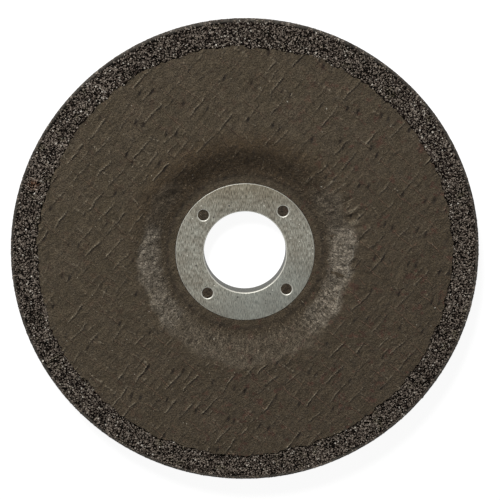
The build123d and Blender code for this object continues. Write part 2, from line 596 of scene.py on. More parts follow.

# %% [markdown]
# Pressed into the dish, the cloth had to shrink round the slope, and so fine
# wrinkles run down it, and painted shade darkens their grooves. They could be
# cut into the mesh, but they are a tenth of a millimetre wide. Here a noise is
# read along the direction from the axis, which turns its blotches into spokes,
# and a thin line is kept wherever the noise crosses its middle.

# %% Wrinkles down the slope, dust and fibres
cells_per_radian = 30
spokes = vector_maths(tree, "NORMALIZE", flattened)
spokes = vector_maths(tree, "MULTIPLY", spokes, (cells_per_radian, cells_per_radian, 0))
outward = add(tree, "CombineXYZ", {"Z": times(tree, from_axis, 0.4)}).outputs[0]
spokes = noise(tree, vector_maths(tree, "ADD", spokes, outward), 1.0, 3.0, 0.6)
off_line = maths(tree, "ABSOLUTE", maths(tree, "SUBTRACT", spokes, 0.5))
wrinkle = times(tree, ramp(tree, off_line, 0.045, 0.01), on_slope)
wrinkle = times(tree, wrinkle, ramp(tree, worn, 0.0, 0.5, 0.35, 1.0))
dusty = ramp(tree, patches(tree, place, 4.0, 3.0)["Mask"], 0.45, 0.85)
tone = tinted(
    tree,
    tone,
    # Painted shade in the grooves of the wrinkles.
    (times(tree, wrinkle, 0.45), (46, 37, 29)),
    (marks(tree, place, 1.0, 0.13, 0.34, dusty), (180, 170, 150)),
    (marks(tree, laid, 2.3, 0.17, 0.3), (52, 40, 32)),
)
fibres = scaled(tree, laid, (0.4, 1.0, 1.0))
for where, size, sharpness, depth in ((fibres, 0.9, 4.0, 205), (place, 0.33, 5.0, 160)):
    fine = patches(tree, where, size, sharpness, colour(depth, depth - 1, depth - 3))
    tone = blend(tree, 1.0, tone, fine["Colour"], "MULTIPLY")
gloss = ramp(tree, patches(tree, place, 2.0, 3.0)["Mask"], 0.0, 1.0, 0.5, 0.68)
fill(tree, shader, {"Base Color": tone, "Roughness": gloss, "Specular IOR Level": 0.2})
print("Nodes with wrinkles, dust and fibres:", len(tree.nodes))

# %% [markdown]
# What is finer than the mesh is bump: creases drawn out along the warp, pores
# and lumps of resin, the cross threads and the wrinkles. They are added up as
# heights first, because one Bump node shades their sum more truly than a row
# of Bump nodes would.

# %% The bump of the cloth
sway = add(tree, "TexNoise", {"Vector": laid, "Scale": 0.35, "Detail": 2.0}).outputs["Color"]
drawn = scaled(tree, vector_maths(tree, "ADD", laid, sway), (0.4, 1.0, 1.0))
creases = {"Vector": drawn, "Scale": 0.6, "Detail": 4.0, "Roughness": 0.6}
creases = add(tree, "TexNoise", creases, noise_type="RIDGED_MULTIFRACTAL", normalize=True)
pores = noise(tree, place, 1.7, 3.0, 0.8)
lumps = noise(tree, place, 0.8, 2.0)
coarse = maths(tree, "ADD", times(tree, worn, 0.7), 0.9)
coarse = maths(tree, "ADD", coarse, times(tree, on_slope, 0.35))
relief = times(tree, creases.outputs[0], 0.35)
for height, share in ((lumps, 0.4), (crossing, 0.25), (wrinkle, -0.7), (pores, coarse)):
    relief = maths(tree, "ADD", relief, times(tree, height, share))
fill(tree, shader, {"Normal": bumps(tree, relief, 1.0, 0.75 * MM)})
print("Nodes in the finished cloth:", len(tree.nodes))

# %% [markdown]
# ## The finish of the grain
# Abrasive grain is crushed corundum, each grain a shade of its own, in a dark
# resin. Every grain here knows its own shade from an attribute on its
# vertices, and the palest few are near white, partly their own tone and partly
# a painted glint. The resin bed below is near black, dark resin with painted
# shade for the gaps, and shows only between the grains, but for the smooth
# skin that the mould left round the rim.

# %% The abrasive grain and the resin that holds it
grain_finish, tree, shader = new_material("bonded_grain")
place = millimetres(tree)
shade = from_mesh(tree, "shade")
from_rust = vector_maths(tree, "DISTANCE", place, (-55.9, 19.2, 10.3))
tone = tinted(
    tree,
    blend(tree, ramp(tree, shade, 0.0, 0.85), colour(44, 33, 26), colour(132, 122, 111)),
    # The palest few grains are near white: partly their own tone, partly a painted glint.
    (ramp(tree, shade, 0.94, 1.0), (196, 191, 180)),
    (ramp(tree, patches(tree, place, 3.0, 3.0)["Mask"], 0.75, 1.0, 0.0, 0.4), (92, 88, 66)),
    (ramp(tree, from_rust, 2.2, 0.6, 0.0, 0.35), (128, 84, 52)),
)
dust = patches(tree, place, 0.35, 3.0, colour(205, 200, 196))["Colour"]
tone = blend(tree, 1.0, tone, dust, "MULTIPLY")
gloss = ramp(tree, shade, 0.0, 1.0, 0.75, 0.45)
fill(tree, shader, {"Base Color": tone, "Roughness": gloss, "Specular IOR Level": 0.25})

bed_resin_and_shade_finish, tree, shader = new_material("resin_bed_and_gap_shade")
place = millimetres(tree)
# Dark resin, made near black as painted shade in the gaps between the grains.
tone = patches(tree, place, 0.8, 3.0, colour(6, 5, 4), colour(18, 14, 11))["Colour"]
skin = patches(tree, place, 1.2, 3.0, colour(50, 47, 43), colour(80, 76, 70))["Colour"]
from_axis = seen_from_above(tree, place)[1]
tone = blend(tree, ramp(tree, from_axis, 61.5, 61.9), tone, skin)
rough = bumps(tree, noise(tree, place, 3.0, 5.0), 0.7, 0.2 * MM)
fill(tree, shader, {"Base Color": tone, "Roughness": 0.9, "Specular IOR Level": 0.05, "Normal": rough})
print("Grain and bed are ready")

# %% [markdown]
# ## The finish of the steel
# The ring is pressed from thin steel sheet that was rolled and brushed one
# way, and it has dulled since. Fine streaks along Y tint it and change its
# gloss, it grows a little darker and warmer towards its top and cooler at its
# lower right, and a few black pits are scattered over it. Its mesh says which
# faces are edges and bevels that get a painted highlight and which line the
# bore, which gets painted shade.

# %% The dull steel
steel_finish, tree, shader = new_material("dull_steel")
place = millimetres(tree)
streak = use_group(tree, brushed, {"Vector": place, "Width": 0.2, "Length": 1.2})["Mask"]
tone = blend(tree, ramp(tree, streak, 0.28, 0.72), colour(86, 86, 80), colour(173, 173, 166))
for size, depth in ((5.0, 224), (0.8, 220)):
    mottled = colour(depth, depth - 5, depth - 11), colour(255, 255, 252)
    cast = patches(tree, place, size, 3.0, *mottled)
    tone = blend(tree, 1.0, tone, cast["Colour"], "MULTIPLY")
upward = add(tree, "SeparateXYZ", {"Vector": place}).outputs["Y"]
# Darker and warmer towards the top of the ring.
tone = blend(tree, ramp(tree, upward, 8.0, 20.0), tone, colour(224, 216, 205), "MULTIPLY")
pits = maths(tree, "MAXIMUM", marks(tree, place, 2.2, 0.24, 0.18), marks(tree, place, 0.9, 0.12, 0.26))
painted_edge_highlight, bore_wall = from_mesh(tree, "painted_edge_highlight"), from_mesh(tree, "bore_wall")
tone = tinted(
    tree,
    tone,
    (times(tree, towards(tree, place, -65.0, 75.0), 0.4), (110, 116, 113)),
    (marks(tree, place, 1.2, 0.12, 0.3), (196, 194, 184)),
    (pits, (32, 28, 25)),
    # Painted highlight on the rolled edges and hole bevels, painted shade on the wall of the bore.
    (painted_edge_highlight, (186, 184, 174)),
    (bore_wall, (74, 74, 66)),
)
# Pits, the bore wall in painted shade and the edges with painted highlight are made less metallic.
pits_shade_and_highlight = maths(tree, "MAXIMUM", pits, times(tree, bore_wall, 0.7))
pits_shade_and_highlight = maths(tree, "MAXIMUM", pits_shade_and_highlight, times(tree, painted_edge_highlight, 0.5))
steel_look = {
    "Base Color": tone,
    "Metallic": maths(tree, "SUBTRACT", 1.0, pits_shade_and_highlight),
    "Roughness": ramp(tree, streak, 0.2, 0.8, 0.62, 0.44),
    "Normal": bumps(tree, streak, 0.35, 0.05 * MM),
}
fill(tree, shader, steel_look)
print("Steel nodes:", len(tree.nodes))

# %% [markdown]
# ## The resin bed
# The abrasive body is one moulding, with a wall as thick at the hub as at the
# rim. Its section is drawn once and spun round the axis, about a third of a
# millimetre inside the finished surface, because the grains stand out of it
# by about that much. A Displace modifier with a fine cloud texture then
# roughens it, so the gaps between the grains don't look planed.

# %% Spin the bed
grain_stand = 0.36 * MM
rim_stand = 0.02 * MM
skin_start = disc_radius - 0.85 * MM
skin_edge = 0.45 * MM
skin_drop = 0.06 * MM
under_facing = facing_thickness + 0.03 * MM
back_radii = np.linspace(collar_radius, disc_radius - rim_stand, 56)
bed_section = [(r, float(back_height(r)) + grain_stand) for r in back_radii]
for z in np.linspace(rim_back + grain_stand, band_top - skin_edge, 10)[1:]:
    bed_section.append((disc_radius - rim_stand, float(z)))
for turn in np.radians((22.5, 45, 67.5, 90)):
    r = disc_radius - rim_stand - skin_edge * (1 - math.cos(turn))
    bed_section.append((r, band_top - skin_drop - skin_edge * (1 - math.sin(turn))))
bed_section.append((skin_start + 0.15 * MM, band_top - 0.1 * MM))
for r in np.linspace(skin_start, facing_radius - MM, 18):
    bed_section.append((float(r), band_top - grain_stand))
for r in np.linspace(facing_radius - MM, seam_radius, 30)[1:]:
    bed_section.append((float(r), float(front_height(r, under_facing))))
bed_section.append((seam_radius, ring_face - ring_sheet))
bed_section.append((collar_radius, ring_face - ring_sheet))
bed_body = spun("abrasive_bed", bed_section, 640)

cloud_texture = bpy.data.textures.new("bed_roughness", "CLOUDS")
cloud_texture.noise_scale = 0.7 * MM
cloud_texture.noise_depth = 1
use_modifier(bed_body, "DISPLACE", texture=cloud_texture, strength=0.1 * MM, mid_level=0.6)
bpy.ops.object.shade_smooth()
finish(bed_body, "abrasive_bed", "abrasive_body", bed_resin_and_shade_finish)

# %% [markdown]
# ## Grain by grain
# The bare abrasive is what someone recognises first, and a bump map never
# looks like crushed stone at its edge. So the grains are real. A few are
# modelled by hand: a small ball is crumpled at random, three of its corners
# are knocked off, and a convex hull closes it again into a sharp chip of
# fourteen faces.

# %% Model eight chips
def chip(seed):
    """One crushed grain, about one unit across, as vertices and faces."""
    bpy.ops.object.select_all(action="DESELECT")
    bpy.ops.mesh.primitive_ico_sphere_add(subdivisions=1, radius=0.5)
    piece = bpy.context.object
    edit(piece)
    bpy.ops.transform.vertex_random(offset=0.17, uniform=0.6, normal=0.0, seed=seed)
    bpy.ops.mesh.select_mode(type="VERT")
    bpy.ops.mesh.select_all(action="DESELECT")
    close_edit()
    for corner in (seed % 4, 4 + seed % 3, 8 + seed % 4):
        piece.data.vertices[corner].select = True
    bpy.ops.object.mode_set(mode="EDIT")
    bpy.ops.mesh.delete(type="VERT")
    bpy.ops.mesh.select_all(action="SELECT")
    bpy.ops.mesh.convex_hull(join_triangles=False)
    bpy.ops.mesh.normals_make_consistent(inside=False)
    close_edit()
    corners = np.array([vertex.co[:] for vertex in piece.data.vertices])
    faces = np.array([face.vertices[:] for face in piece.data.polygons])
    bpy.data.meshes.remove(piece.data)
    return corners, faces


chips = [chip(seed) for seed in range(1, 9)]
print("Corners and faces of each chip:", [(len(c), len(f)) for c, f in chips])

# %% [markdown]
# The chips are then scattered. Rows run round the disc along a section, each
# row with its radius, its height and the way its surface looks. Grains stand
# in the rows at a chosen pitch, then chance shifts, turns and sizes them and
# leaves some out. Thousands of copies made by hand would be slow, so their
# corners are placed all at once with numpy, and each piece becomes one mesh.
# What would stand out too far is pressed flat, as the mould did it.

# %% Scatter the chips
def turning(draw, count):
    """This many random turns, as matrices made from random quaternions."""
    q = draw.normal(size=(count, 4))
    w, x, y, z = (q / np.linalg.norm(q, axis=1, keepdims=True)).T
    rows = [
        [1 - 2 * (y * y + z * z), 2 * (x * y - z * w), 2 * (x * z + y * w)],
        [2 * (x * y + z * w), 1 - 2 * (x * x + z * z), 2 * (y * z - x * w)],
        [2 * (x * z - y * w), 2 * (y * z + x * w), 1 - 2 * (x * x + y * y)],
    ]
    return np.moveaxis(np.array(rows), 2, 0)


def grain_spots(rows, pitch, draw, missing):
    """Places and outward directions of grains along rows of a section."""
    places = []
    for radius, height, out, up in rows:
        count = round(math.tau * radius / pitch)
        angle = (np.arange(count) + draw.uniform(-0.45, 0.45, count)) * math.tau / count
        slide = draw.uniform(-0.45, 0.45, count) * pitch
        r = radius + slide * up
        z = height - slide * out
        cosine, sine = np.cos(angle), np.sin(angle)
        spots = [r * cosine, r * sine, z, out * cosine, out * sine, np.full(count, up)]
        places.append(np.array(spots).T)
    places = np.concatenate(places)
    gone = smooth_noise(places[:, 0] / MM, places[:, 1] / MM, 5) * 0.12 + missing
    return places[draw.uniform(size=len(places)) > gone]


def scatter(name, spots, smallest, largest, stand, draw, furthest=disc_radius + 0.02 * MM):
    """Builds and finishes one piece of chips at these spots. Stand is how far
    they may stand out, one distance for all of them or one for each, and
    furthest is how far they may reach from the axis."""
    count = len(spots)
    stand = np.broadcast_to(stand, count)
    kind = draw.integers(0, len(chips), count)
    size = smallest + (largest - smallest) * draw.uniform(size=count) ** 1.6
    turn = turning(draw, count)
    shade = draw.uniform(size=count)
    sink = size * draw.uniform(0.1, 0.42, count)
    corners, faces, shades, total = [], [], [], 0
    for number, (shape, sides) in enumerate(chips):
        mine = np.flatnonzero(kind == number)
        out = spots[mine, 3:]
        ground = spots[mine, :3]
        centre = ground - out * sink[mine, None]
        points = np.einsum("nij,kj->nki", turn[mine], shape) * size[mine, None, None]
        points = points + centre[:, None, :]
        above = np.einsum("nki,ni->nk", points - ground[:, None, :], out)
        limit = (stand[mine] * (0.35 + 0.65 * shade[mine]))[:, None]
        points = points - np.maximum(above - limit, 0)[:, :, None] * out[:, None, :]
        points[:, :, :2] *= np.minimum(1, furthest / axis_distance(points))[:, :, None]
        corners.append(points.reshape(-1, 3))
        start = total + np.arange(len(mine)) * len(shape)
        faces.append((sides[None, :, :] + start[:, None, None]).reshape(-1, 3))
        shades.append(np.repeat(shade[mine], len(shape)))
        total += len(mine) * len(shape)
    mesh = bpy.data.meshes.new(name)
    mesh.from_pydata(np.concatenate(corners), [], np.concatenate(faces))
    give_attribute(mesh, "shade", np.concatenate(shades))
    mesh.update()
    finish(placed(name, mesh), name, "abrasive_body", grain_finish)


print("Grains have", len(chips), "shapes to choose from")

# %% [markdown]
# The cloth was trimmed by hand, so its edge wanders: long runs, nicks and
# short frays. Both the grain, which starts where the cloth ends, and the cloth
# itself ask this function where the edge is.

# %% Where the cloth ends
def trimmed_edge(angle):
    """Radius of the edge of the cloth at this angle."""
    turn = angle / math.tau
    runs = smooth_noise(turn * 26, np.zeros_like(turn), 31, around=26)
    nicks = smooth_noise(turn * 110, np.zeros_like(turn), 32, around=110)
    frays = smooth_noise(turn * 420, np.zeros_like(turn), 33, around=420)
    return facing_radius + (0.28 * runs + 0.36 * nicks + 0.3 * frays) * MM


around = np.linspace(-math.pi, math.pi, 2000)
print("Edge of the cloth, mm:", trimmed_edge(around).min() / MM, trimmed_edge(around).max() / MM)

# %% [markdown]
# The bare band gets the finest and sharpest grain, which stands highest beside
# the cloth. The mould's smooth skin covers most of the rim, so few grains show
# there, but three have worked loose and stand out. The back was pressed flat
# against the mould, and its grains are larger and level.

# %% The grain of the band, the rim and the back
def band_rows(pitch):
    """Rows over the bare band beside the cloth."""
    radii = np.arange(facing_radius - MM, disc_radius - 0.3 * MM, pitch)
    return [(r, band_top, 0.0, 1.0) for r in radii]


def rim_rows(pitch):
    """Rows down the rim, with one on each of its edges."""
    heights = np.arange(rim_back + pitch, band_top - 0.6 * pitch, pitch)
    inset = disc_radius - 0.15 * MM
    rows = [(inset, band_top - 0.15 * MM, 0.7, 0.7), (inset, rim_back + 0.15 * MM, 0.7, -0.7)]
    return rows + [(disc_radius, z, 1.0, 0.0) for z in heights]


def back_rows(pitch, inner, outer):
    """Rows over the back, each looking along the normal there."""
    rows = []
    for r in np.arange(inner, outer, pitch):
        rise = float(back_height(r + 0.1 * MM) - back_height(r - 0.1 * MM)) / (0.2 * MM)
        steep = math.hypot(1, rise)
        rows.append((r, float(back_height(r)), rise / steep, -1 / steep))
    return rows


draw = np.random.default_rng(27)
band_pitch = 0.39 * MM
band_spots = grain_spots(band_rows(band_pitch), band_pitch, draw, 0.17)
reach, heading = axis_distance(band_spots), heading_of(band_spots)
from_cloth = reach - trimmed_edge(heading) - draw.uniform(-0.1, 0.4, len(reach)) * MM
skin_wander = 0.5 * MM * smooth_noise(heading / math.tau * 130, 0 * heading, 34, around=130)
into_skin = reach - skin_start - skin_wander
kept = (from_cloth > 0) & (into_skin < draw.uniform(-0.2, 0.75, len(reach)) * MM)
band_spots, from_cloth = band_spots[kept], from_cloth[kept]
band_stand = (0.1 + 0.26 * np.exp(-from_cloth / (0.35 * MM))) * MM
scatter("band_grain", band_spots, 0.3 * MM, 0.72 * MM, band_stand, draw)

rim_pitch = 0.56 * MM
rim_spots = grain_spots(rim_rows(rim_pitch), rim_pitch, draw, 0.55)
scatter("rim_grain", rim_spots, 0.5 * MM, 0.9 * MM, rim_stand, draw)

loose_angles = np.radians((-39.2, 19.2, 196.3))
outward = np.array([np.cos(loose_angles), np.sin(loose_angles), 0 * loose_angles]).T
loose_places = outward * (disc_radius - 0.15 * MM) + (0, 0, band_top - 0.45 * MM)
loose_spots = np.hstack([loose_places, outward])
loose_reach = disc_radius + 0.25 * MM
scatter("loose_grain", loose_spots, 1.0 * MM, 1.2 * MM, 0.4 * MM, draw, loose_reach)

back_pitch = 0.82 * MM
skirt_start = 44 * MM
for name, inner, outer, stand in (
    ("hub_grain", collar_radius + 0.5 * MM, skirt_start, 0.0),
    ("skirt_grain", skirt_start, disc_radius - 0.4 * MM, 0.05 * MM),
):
    back_spots = grain_spots(back_rows(back_pitch, inner, outer), back_pitch, draw, 0.04)
    scatter(name, back_spots, 0.75 * MM, 1.3 * MM, stand, draw)

# %% [markdown]
# ## The relief of the cloth
# Glass threads under the skin of resin raise it in ridges. The warp threads
# show most. They run at one slant, a thread pitch apart, and each ridge comes
# and goes, wanders a little and sinks where a cross thread passes over. A
# subdivided plane would need millions of faces to follow them, so the heights
# are worked out here and the mesh is laid along the threads later.

# %% Ridges, troughs and knots
satin_count = 5
satin_step = 2
between_threads = 1.9 * MM


def along_threads(x, y, angle):
    """Distances along and across threads that lie at this angle."""
    along = x * math.cos(angle) + y * math.sin(angle)
    across = y * math.cos(angle) - x * math.sin(angle)
    return along, across


def thread_ridges(along, across, seed, spell):
    """Ridges over one set of threads, the swell that carries each and the
    trough beside it, as shares from 0 to 1. Spell is how far one reaches."""
    line = np.round(across / thread_pitch)
    moved = along / spell + chance(line, 0 * line, seed + 5)
    stretch = np.floor(moved)
    inside = moved - stretch
    strength = np.clip(1.2 * chance(line, stretch, seed) + 0.05, 0.2, 1.1)
    begin = 0.15 * chance(line, stretch, seed + 1)
    end = 0.78 + 0.22 * chance(line, stretch, seed + 2)
    strength = strength * soft((inside - begin) / 0.1) * soft((end - inside) / 0.12)
    strength = strength * (0.75 + 0.35 * smooth_noise(along / (1.1 * MM), line, seed + 7))
    lean = (chance(line, stretch, seed + 3) - 0.4) * 1.7 * MM
    offset = (chance(line, stretch, seed + 4) - 0.5) * 0.4 * MM
    wander = 0.27 * MM * smooth_noise(along / (2.1 * MM), line, seed + 6)
    wander = wander + 0.09 * MM * smooth_noise(along / (0.8 * MM), line, seed + 8)
    away = across - line * thread_pitch - offset - lean * (inside - 0.5) - wander
    ridge = strength * np.exp(-((away / (0.15 * MM)) ** 2))
    swell = strength * np.exp(-(((away + 0.12 * MM) / (0.55 * MM)) ** 2))
    trough = strength * np.exp(-(((away + 0.36 * MM) / (0.2 * MM)) ** 2))
    return ridge, swell, trough


def knots(along, across):
    """Hollows where a warp thread dips under a cross thread, 0 to 1."""
    line = np.round(across / thread_pitch)
    repeat = satin_count * thread_pitch
    from_knot = (along - satin_step * line * thread_pitch) / repeat
    turn = np.round(from_knot)
    away_along = (from_knot - turn) * repeat - (chance(line, turn, 71) - 0.5) * 2 * MM
    away_across = across - line * thread_pitch + 0.5 * MM
    away_across = away_across - (chance(line, turn, 72) - 0.5) * 0.8 * MM
    lean = math.radians(22)
    length = away_along * math.cos(lean) + away_across * math.sin(lean)
    width = away_across * math.cos(lean) - away_along * math.sin(lean)
    strength = np.clip(1.5 * chance(line, turn, 73), 0, 1)
    return strength * np.exp(-((length / (0.85 * MM)) ** 2) - (width / (0.3 * MM)) ** 2)


def thread_relief(x, y):
    """Height of the threads, how much each place is on a crest, and how much painted shade its hollows
    take. The threads stand highest at the left."""
    warp_along, warp_across = along_threads(x, y, warp_angle)
    weft_along, weft_across = along_threads(x, y, warp_angle + math.pi / 2)
    beside = warp_across + between_threads
    warp, warp_swell, warp_trough = thread_ridges(warp_along, warp_across, 11, 9.0 * MM)
    fine, fine_swell, fine_trough = thread_ridges(warp_along, beside, 51, 5.6 * MM)
    weft, weft_swell, weft_trough = thread_ridges(weft_along, weft_across, 61, 5.5 * MM)
    pit = np.maximum(knots(warp_along, warp_across), knots(warp_along + 9 * MM, beside))
    standing = 1 + 0.16 * np.cos(np.arctan2(y, x) - math.radians(185))
    ridges = 0.24 * warp + 0.14 * fine + 0.17 * weft
    swells = 0.2 * warp_swell + 0.1 * fine_swell + 0.1 * weft_swell
    troughs = 0.2 * warp_trough + 0.1 * fine_trough + 0.08 * weft_trough + 0.3 * pit
    crest = np.clip(standing * (0.85 * warp + 0.45 * fine + 0.5 * weft), 0, 1)
    # Painted shade in the troughs, on the side of each ridge away from the lamp, and in the knots.
    hollow_shade = np.clip(0.95 * warp_trough + 0.5 * fine_trough + 0.4 * weft_trough + 1.1 * pit, 0, 1)
    return standing * (ridges + swells) - troughs, crest, hollow_shade


print("Threads lie", round(thread_pitch / MM, 2), "mm apart at", math.degrees(warp_angle), "degrees")

# %% [markdown]
# The recess is where the nut and the hand press, so its slope is rubbed and
# crumpled in patches: hardly at all at the top, most at the right. Each patch
# is an angle, a spread, the radii that it covers and how bad it is. At the
# edge of the worst ones folds have lifted into sharp lips, each given by an
# angle, a spread, a radius and a height. Painting the wear by hand would do as
# well, but numbers come out the same on every run.

# %% Worn patches of the slope
worn_patches = (
    (-2, 17, 23.4, 28.2, 1.0),
    (332, 21, 23.2, 28.7, 0.65),
    (285, 30, 23.2, 30.0, 0.14),
    (242, 22, 23.2, 29.6, 0.17),
    (208, 18, 23.4, 28.6, 0.62),
    (180, 16, 23.6, 27.9, 0.86),
    (150, 16, 23.2, 28.6, 0.12),
    (24, 16, 23.0, 28.8, 0.2),
)
lifted_folds = (
    (-4, 12, 27.9, 1.0),
    (-24, 10, 27.7, 0.85),
    (206, 8, 28.0, 0.5),
    (186, 6, 27.2, 0.45),
)


def lobes(angle):
    """How far the edge of the wear bulges outward, in round lobes."""
    bulge = np.abs(smooth_noise(angle / math.tau * 34, 0 * angle, 45, around=34))
    return 2.0 * MM * bulge - 0.6 * MM


def turned_from(angle, middle):
    """How many degrees this angle lies from the middle, either way."""
    return np.abs((np.degrees(angle) - middle + 180) % 360 - 180)


def wear_of(radius, angle):
    """How worn the cloth is at these places, from 0 to 1."""
    worn = np.zeros_like(radius)
    ragged = 0.5 * MM * smooth_noise(angle / math.tau * 120, radius / (1.6 * MM), 41, around=120)
    for middle, spread, inner, outer, amount in worn_patches:
        side = soft((spread - turned_from(angle, middle)) / (0.8 * spread) + 0.5)
        from_inner = soft((radius + ragged - inner * MM) / (2.6 * MM) + 0.5)
        from_outer = soft((outer * MM - radius + lobes(angle) + ragged) / (1.9 * MM) + 0.5)
        worn = np.maximum(worn, amount * side * from_inner * from_outer)
    return worn


def lips(radius, angle):
    """Sharp lips of lifted folds along the edge of the worn patches."""
    height = np.zeros_like(radius)
    for middle, spread, at, share in lifted_folds:
        within = soft((spread - turned_from(angle, middle)) / 4)
        away = (radius - at * MM - lobes(angle)) / (0.25 * MM)
        height = np.maximum(height, share * within * np.exp(-(away**2)))
    return height


def hair_wrinkles(radius, angle):
    """Wrinkles as fine as hair down the upper right of the slope."""
    hair = smooth_noise(angle / math.tau * 230, radius / (5 * MM), 86, around=230)
    hair = hair * soft((np.cos(angle - math.radians(22)) - 0.55) / 0.25)
    return hair * soft((radius - 23 * MM) / (3 * MM)) * soft((36 * MM - radius) / (5 * MM))


def skin_relief(x, y):
    """Unevenness of the skin of resin, drawn out along the warp."""
    along, across = along_threads(x, y, warp_angle)
    drawn_out = smooth_noise(along / (1.3 * MM), across / (0.5 * MM), 81)
    return 0.03 * drawn_out + 0.09 * smooth_noise(x / (2.4 * MM), y / (2.4 * MM), 82)


print("Worn at the right of the slope:", float(wear_of(np.array([0.026]), np.array([0.0]))[0]))

# %% [markdown]
# One function adds it all up. On the flat the threads have their full height,
# on the slope half of it, and under the ring's edge none. Where it would stand
# too far out, the mould has pressed it down. The same shapes also say how
# rubbed and how worn each point is, and how much painted shade its hollows
# take, which the material reads.

# %% The whole relief
highest_relief = 0.34
squeeze = 0.14


def cloth_relief(x, y):
    """Height of the relief over the plain dish, and how much each place is on a crest, worn and
    darkened by painted shade in its hollows. It's added up in millimetres."""
    radius, angle = np.hypot(x, y), np.arctan2(y, x)
    flat = soft((radius - 27 * MM) / (5 * MM))
    seated = soft((radius - 19.6 * MM) / (1.5 * MM))
    slope = (1 - flat) * seated
    shows = 0.3 + 0.7 * flat
    threads, crest, hollow_shade = thread_relief(x, y)
    worn = wear_of(radius, angle)
    lifted = lips(radius, angle)
    hair = hair_wrinkles(radius, angle)
    creases = smooth_noise(angle / math.tau * 110, radius / (1.4 * MM), 83, around=110)
    radial = smooth_noise(angle / math.tau * 70, radius / (6 * MM), 85, around=70)
    crumple = smooth_noise(x / (0.8 * MM), y / (0.8 * MM), 84)
    lumps = smooth_noise(x / (2.2 * MM), y / (2.2 * MM), 87)

    height = (flat + 0.5 * slope) * threads + skin_relief(x, y) * seated
    height = height + slope * (0.16 * radial + 0.1 * crumple + 0.15 * lumps) + 0.34 * hair
    height = height + worn * (0.24 * creases + 0.22 * crumple + 0.32 * lumps) + 0.4 * lifted
    too_high = np.maximum(height - highest_relief, 0)
    height = np.minimum(height, highest_relief) + squeeze * np.tanh(too_high / squeeze)

    crest = shows * crest * (1 - np.clip(2 * worn, 0, 1)) * seated
    crest = crest + 2.2 * lifted + 0.7 * np.clip(hair - 0.25, 0, 1)
    hollow_shade = shows * hollow_shade * seated + 0.3 * worn * np.clip(-0.5 * crumple - 0.5 * creases, 0, 1)
    dips = 0.5 * np.clip(-crumple - 0.3, 0, 1) + 0.5 * np.clip(-hair - 0.25, 0, 1)
    # Painted shade in the corner where the slope meets the ring's seat.
    beside_ring = np.exp(-(((radius - 21 * MM) / (0.75 * MM)) ** 2))
    hollow_shade = hollow_shade + slope * dips + 0.4 * beside_ring
    return height * MM, np.clip(crest, 0, 2), np.clip(worn, 0, 1), np.clip(hollow_shade, 0, 1)


print("Relief on the axis, mm:", float(cloth_relief(np.zeros(1), np.zeros(1))[0][0]) / MM)

# %% [markdown]
# ## Lay the cloth
# A mesh shows a narrow ridge well only where its rows run along the ridge. So
# points are laid in rows on the threads, close together over a ridge and wider
# apart between two, and in rings on the slope. A Delaunay triangulation joins
# them inside the trimmed edge and the seam at the ring, which come out exactly
# as they were given. No primitive could be subdivided into such a mesh.

# %% Points along the threads, round the slope and on both edges
slope_end = 33 * MM
rows_per_thread = 20
row_step = 0.55 * MM
row_offsets = np.arange(rows_per_thread) * thread_pitch / rows_per_thread


def thread_points(offset, step, line_count):
    """Points in a row along every thread, this far beside it."""
    points = []
    for line in range(-line_count, line_count + 1):
        across = line * thread_pitch + offset
        along = np.arange(-facing_radius, facing_radius, step)
        along = along + step * chance(line, round(offset / MM * 100), 91)
        x = along * math.cos(warp_angle) - across * math.sin(warp_angle)
        y = along * math.sin(warp_angle) + across * math.cos(warp_angle)
        points.append(np.array([x, y]).T)
    return np.concatenate(points)


def ring_points(radius, step):
    """Points in a ring round the axis, this far from one to the next."""
    count = round(math.tau * radius / step)
    angle = (np.arange(count) + chance(round(radius / MM * 100), 0, 92)) * math.tau / count
    return round_axis(radius, angle)


line_count = int(facing_radius / thread_pitch) + 1
flat_points = [thread_points(offset, row_step, line_count) for offset in row_offsets]
flat_points = np.concatenate(flat_points)
reach, edge_there = axis_distance(flat_points), trimmed_edge(heading_of(flat_points))
flat_points = flat_points[(reach > slope_end) & (reach < edge_there - 0.15 * MM)]
slope_radii = np.arange(seam_radius + 0.3 * MM, slope_end, 0.27 * MM)
slope_points = np.concatenate([ring_points(r, 0.36 * MM) for r in slope_radii])

edge_count, seam_count = 1200, 400
edge_angles = np.arange(edge_count) * math.tau / edge_count
edge_points = round_axis(trimmed_edge(edge_angles), edge_angles)
seam_points = ring_points(seam_radius, math.tau * seam_radius / seam_count)
layout = np.concatenate([edge_points, seam_points, slope_points, flat_points]) / MM
print("Points in the cloth:", len(layout))

# %% Join the points into one sheet
loop = [(i, (i + 1) % edge_count) for i in range(edge_count)]
loop += [(edge_count + i, edge_count + (i + 1) % seam_count) for i in range(seam_count)]
joined = geometry.delaunay_2d_cdt([Vector(p) for p in layout.tolist()], loop, [], 1, 1e-6)
flat_place = np.array([point[:] for point in joined[0]]) * MM
triangles = np.array([face[:] for face in joined[2]])
hole_reach = seam_radius * math.cos(math.pi / seam_count)
triangles = triangles[axis_distance(flat_place[triangles].mean(axis=1)) > hole_reach]

relief, crest, worn, hollow_shade = cloth_relief(flat_place[:, 0], flat_place[:, 1])
cloth_height = front_height(axis_distance(flat_place)) + relief
cloth_mesh = bpy.data.meshes.new("woven_facing")
cloth_mesh.from_pydata(np.column_stack([flat_place, cloth_height]), [], triangles)
for attribute, values in (("crest", crest), ("worn", worn), ("hollow_shade", hollow_shade)):
    give_attribute(cloth_mesh, attribute, values)
cloth = placed("woven_facing", cloth_mesh)
print("Triangles in the sheet:", len(triangles))

# %% [markdown]
# A sheet has no thickness yet. Its two edges are extruded down, the lower one
# at the outside is drawn in along the dish, and a bridge to the one at the
# ring closes the underside.

